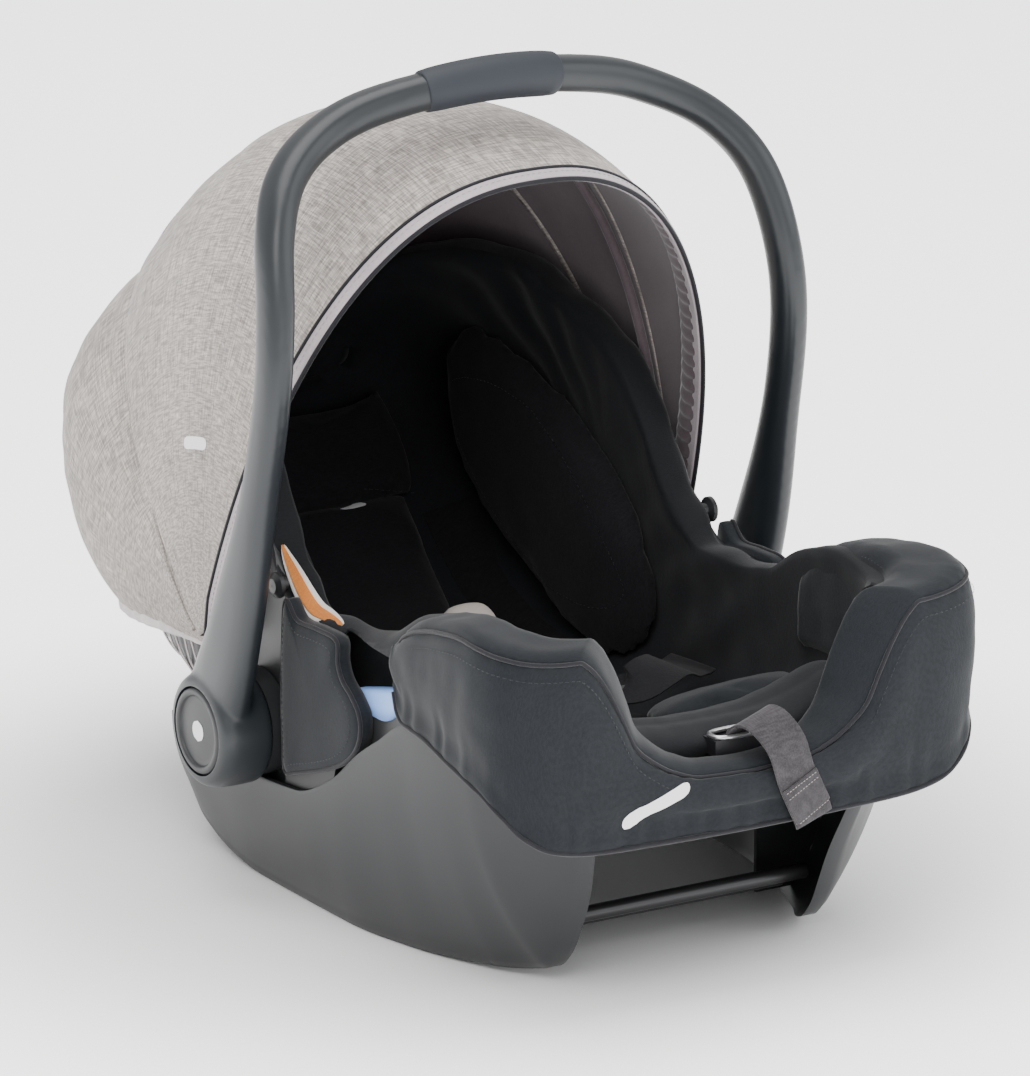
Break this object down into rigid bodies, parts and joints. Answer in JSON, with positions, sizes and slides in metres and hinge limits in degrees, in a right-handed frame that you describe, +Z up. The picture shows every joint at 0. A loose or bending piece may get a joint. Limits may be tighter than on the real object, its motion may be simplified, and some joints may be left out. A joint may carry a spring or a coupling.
{
  "type": "infant car seat",
  "caption": "Rear-facing infant carrier car seat with turning carry handle, folding canopy, padded insert, harness and rocker base.",
  "frame": {"origin": "on the floor, straight below the handle's pivot axis, at the middle of the length and width", "axes": "+Z up, +Y towards the head end, X across; -X is the side whose hub faces the viewer when the foot end points to the lower right"},
  "size_m": [0.444, 0.7122, 0.5696],
  "materials": {
    "shell_plastic": "fine textured moulded plastic, dark grey",
    "handle_plastic": "satin moulded plastic, slate",
    "button_plastic": "satin moulded plastic",
    "grip_rubber": "smooth foam sleeve",
    "steel": "dark plated steel",
    "guide_plastic": "light blue moulded plastic",
    "liner_foam": "white bead foam",
    "cover_fabric": "charcoal woven polyester over foam",
    "insert_fabric": "black brushed knit over wadding",
    "canopy_fabric": "heather grey-beige melange weave",
    "bow_plastic": "black flexible strip",
    "webbing": "flat woven polyester webbing",
    "buckle_plastic": "black moulded plastic",
    "press_plastic": "red moulded plastic",
    "label_cloth": "plain sewn-in label"
  },
  "bodies": {
    "carrier": {"adjuster_housing": "steel", "adjuster_strap": "webbing", "belt_guide_left": "guide_plastic", "belt_guide_right": "guide_plastic", "buckle_housing": "buckle_plastic", "buckle_tongue_left": "steel", "buckle_tongue_right": "steel", "canopy_hood": "canopy_fabric", "canopy_mount_left": "shell_plastic", "canopy_mount_right": "shell_plastic", "canopy_rear_panel": "canopy_fabric", "cross_bar_front": "steel", "cross_bar_rear": "steel", "crotch_strap": "webbing", "foam_liner": "liner_foam", "front_apron": "cover_fabric", "head_support": "insert_fabric", "hub_boss_left": "shell_plastic", "hub_boss_right": "shell_plastic", "insert_back_pad": "insert_fabric", "insert_bolster_left": "insert_fabric", "insert_bolster_right": "insert_fabric", "insert_seat_pad": "insert_fabric", "lap_strap_left": "webbing", "lap_strap_right": "webbing", "leg_flap_left": "insert_fabric", "leg_flap_right": "insert_fabric", "pivot_pin_left": "steel", "pivot_pin_right": "steel", "rear_belt_guide": "guide_plastic", "rim_knob_left": "shell_plastic", "rim_knob_right": "shell_plastic", "rocker_skirt_left": "shell_plastic", "rocker_skirt_right": "shell_plastic", "seat_cover": "cover_fabric", "seat_shell": "shell_plastic", "shell_screws": "steel", "shoulder_strap_left": "webbing", "shoulder_strap_right": "webbing", "side_bracket_left": "shell_plastic", "side_bracket_right": "shell_plastic", "side_cover_left": "cover_fabric", "side_cover_right": "cover_fabric", "side_label": "label_cloth", "skirt_web_left": "shell_plastic", "skirt_web_right": "shell_plastic", "webbing_under_seat": "webbing"},
    "handle": {"handle_bow": "handle_plastic", "handle_grip": "grip_rubber", "handle_hub_left": "handle_plastic", "handle_hub_right": "handle_plastic"},
    "release_button_left": {"handle_button_left": "button_plastic"},
    "release_button_right": {"handle_button_right": "button_plastic"},
    "canopy_middle": {"canopy_middle_panel": "canopy_fabric", "canopy_middle_bow": "bow_plastic"},
    "canopy_front": {"canopy_front_panel": "canopy_fabric", "canopy_front_bow": "bow_plastic"},
    "buckle_press": {"buckle_button": "press_plastic"},
    "adjuster_press": {"adjuster_button": "buckle_plastic"}
  },
  "joints": [
    {"name": "handle_turn", "type": "hinge", "parent": "carrier", "child": "handle", "pos_m": [0, 0, 0.12], "axis": [-1, 0, 0], "range_deg": [0, 100]},
    {"name": "release_press_left", "type": "slide", "parent": "handle", "child": "release_button_left", "axis": [1, 0, 0], "range_m": [0, 0.004], "stiffness_N_per_m": 800},
    {"name": "release_press_right", "type": "slide", "parent": "handle", "child": "release_button_right", "axis": [-1, 0, 0], "range_m": [0, 0.004], "stiffness_N_per_m": 800},
    {"name": "canopy_fold", "type": "hinge", "parent": "carrier", "child": "canopy_middle", "pos_m": [0, 0.043, 0.156], "axis": [-1, 0, 0], "range_deg": [0, 20]},
    {"name": "canopy_front_fold", "type": "hinge", "parent": "canopy_middle", "child": "canopy_front", "pos_m": [0, 0.043, 0.156], "axis": [-1, 0, 0], "range_deg": [0, 20]},
    {"name": "buckle_press_slide", "type": "slide", "parent": "carrier", "child": "buckle_press", "axis": [0, -0.4695, -0.8829], "range_m": [0, 0.003], "stiffness_N_per_m": 600},
    {"name": "adjuster_press_slide", "type": "slide", "parent": "carrier", "child": "adjuster_press", "axis": [0, 0, -1], "range_m": [0, 0.003], "stiffness_N_per_m": 600}
  ],
  "couplings": [
    {"joint": "canopy_front_fold", "follows": "canopy_fold", "ratio": 1}
  ]
}
